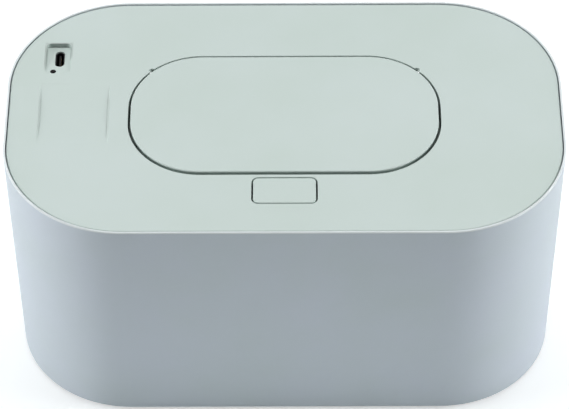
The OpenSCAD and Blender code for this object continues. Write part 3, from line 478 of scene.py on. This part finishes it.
def floor():
    """A plain pale floor. It glows where it is seen, directly or in a piece, but lights nothing."""
    t = Surface("floor")
    rays = t.node("ShaderNodeLightPath").outputs
    glossy = t.math("MULTIPLY", rays["Is Glossy Ray"], 0.3)
    seen = t.math("MAXIMUM", rays["Is Camera Ray"], t.math("MAXIMUM", glossy, rays["Is Transmission Ray"]))
    patchy = t.ramp(t.noise(9), 0.3, 0.7)
    t.put("Base Color", t.mix(patchy, (0.71, 0.74, 0.74, 1), (0.73, 0.76, 0.76, 1)))
    t.put("Roughness", 0.85)
    t.put("Specular IOR Level", 0.1)
    t.put("Emission Strength", t.math("MULTIPLY", seen, 0.42))
    t.put("Emission Color", WHITE)
    b = bmesh.new()
    bmesh.ops.create_grid(b, x_segments=2, y_segments=2, size=6.0)
    mesh_object("floor", b, t.material)


def glow(t, colour, strength):
    """A background of one colour."""
    n = t.node("ShaderNodeBackground")
    n.inputs["Color"].default_value = colour
    t.feed(n.inputs["Strength"], strength)
    return n.outputs[0]


def pick(t, share, a, b):
    """Shader a where share is 0 and shader b where it is 1."""
    n = t.node("ShaderNodeMixShader")
    for k, value in enumerate((share, a, b)):
        t.link(value, n.inputs[k])
    return n.outputs[0]


def room():
    """Soft light all round, dimmer in front of the object than behind it. The camera sees plain white."""
    world = bpy.data.worlds.new("studio")
    SCENE.world = world
    world.use_nodes = True
    t = Nodes(world.node_tree, "Generated")
    rays = t.node("ShaderNodeLightPath").outputs
    mirrored = t.math("MAXIMUM", rays["Is Glossy Ray"], rays["Is Transmission Ray"])
    soft = glow(t, (0.94, 0.98, 1.0, 1), t.ramp(t.axis(Y), -0.8, 0.5, 0.02, 0.36))
    light = pick(t, mirrored, soft, glow(t, WHITE, 0.6))
    out = t.node("ShaderNodeOutputWorld")
    t.link(pick(t, rays["Is Camera Ray"], light, glow(t, WHITE, 1.0)), out.inputs[0])


# Lamps


def lamp(name, place, aim, size, watts, colour=(1, 1, 1), in_gloss=True):
    """A soft rectangular lamp that the camera doesn't see."""
    data = bpy.data.lights.new(name, "AREA")
    data.shape = "RECTANGLE"
    data.size, data.size_y = size
    data.energy = watts
    data.color = colour
    obj = bpy.data.objects.new(name, data)
    obj.location = place
    obj.rotation_euler = (Vector(aim) - Vector(place)).to_track_quat("-Z", "Y").to_euler()
    obj.visible_camera = False
    obj.visible_glossy = in_gloss
    SCENE.collection.objects.link(obj)


def lamps():
    """One lamp above, one at each side, and a low strip in front."""
    lamp("top", place=(0, 0.22, 1.4), aim=(0, 0.1, 0.08), size=(1.6, 0.5), watts=9)
    # The flat cover, seen from one side, would mirror the other side's lamp as white
    for name, x in (("left", -1.3), ("right", 1.3)):
        lamp(name, place=(x, -0.1, 0.46), aim=(0, 0, 0.05), size=(0.7, 0.6), watts=13.2,
             colour=(1.0, 0.98, 1.0), in_gloss=False)
    # The strip lifts the foot of the front wall, as the bright table does in the photograph
    lamp("foot", place=(0, -0.15, 0.014), aim=(0, -0.05, 0.012), size=(0.2, 0.02), watts=0.014,
         colour=(0.95, 1.0, 0.98))


# Camera


def add_camera():
    """The camera that the photograph's outlines give, turned a little about its own axis."""
    elevation, azimuth, roll = (math.radians(v) for v in (46.558, 0.223, -0.34))
    aim, distance = Vector((-0.000186, 0.0, 0.05141)), 1.23617
    level = math.cos(elevation)
    away = Vector((math.sin(azimuth) * level, -math.cos(azimuth) * level, math.sin(elevation)))
    side = Vector((0, 0, 1)).cross(away).normalized()
    up = away.cross(side)
    right = math.cos(roll) * side + math.sin(roll) * up
    over = -math.sin(roll) * side + math.cos(roll) * up
    data = bpy.data.cameras.new("camera")
    data.sensor_width = 36.0
    data.lens = 206.96
    data.clip_start = 0.05
    data.clip_end = 50.0
    obj = bpy.data.objects.new("camera", data)
    turned = Matrix((right, over, away)).transposed().to_4x4()
    obj.matrix_world = Matrix.Translation(aim + away * distance) @ turned
    SCENE.collection.objects.link(obj)
    SCENE.camera = obj


finish_nodes()
socket_contacts()
return_spring()
floor()
room()
lamps()
add_camera()
SCENE.view_settings.view_transform = "Standard"
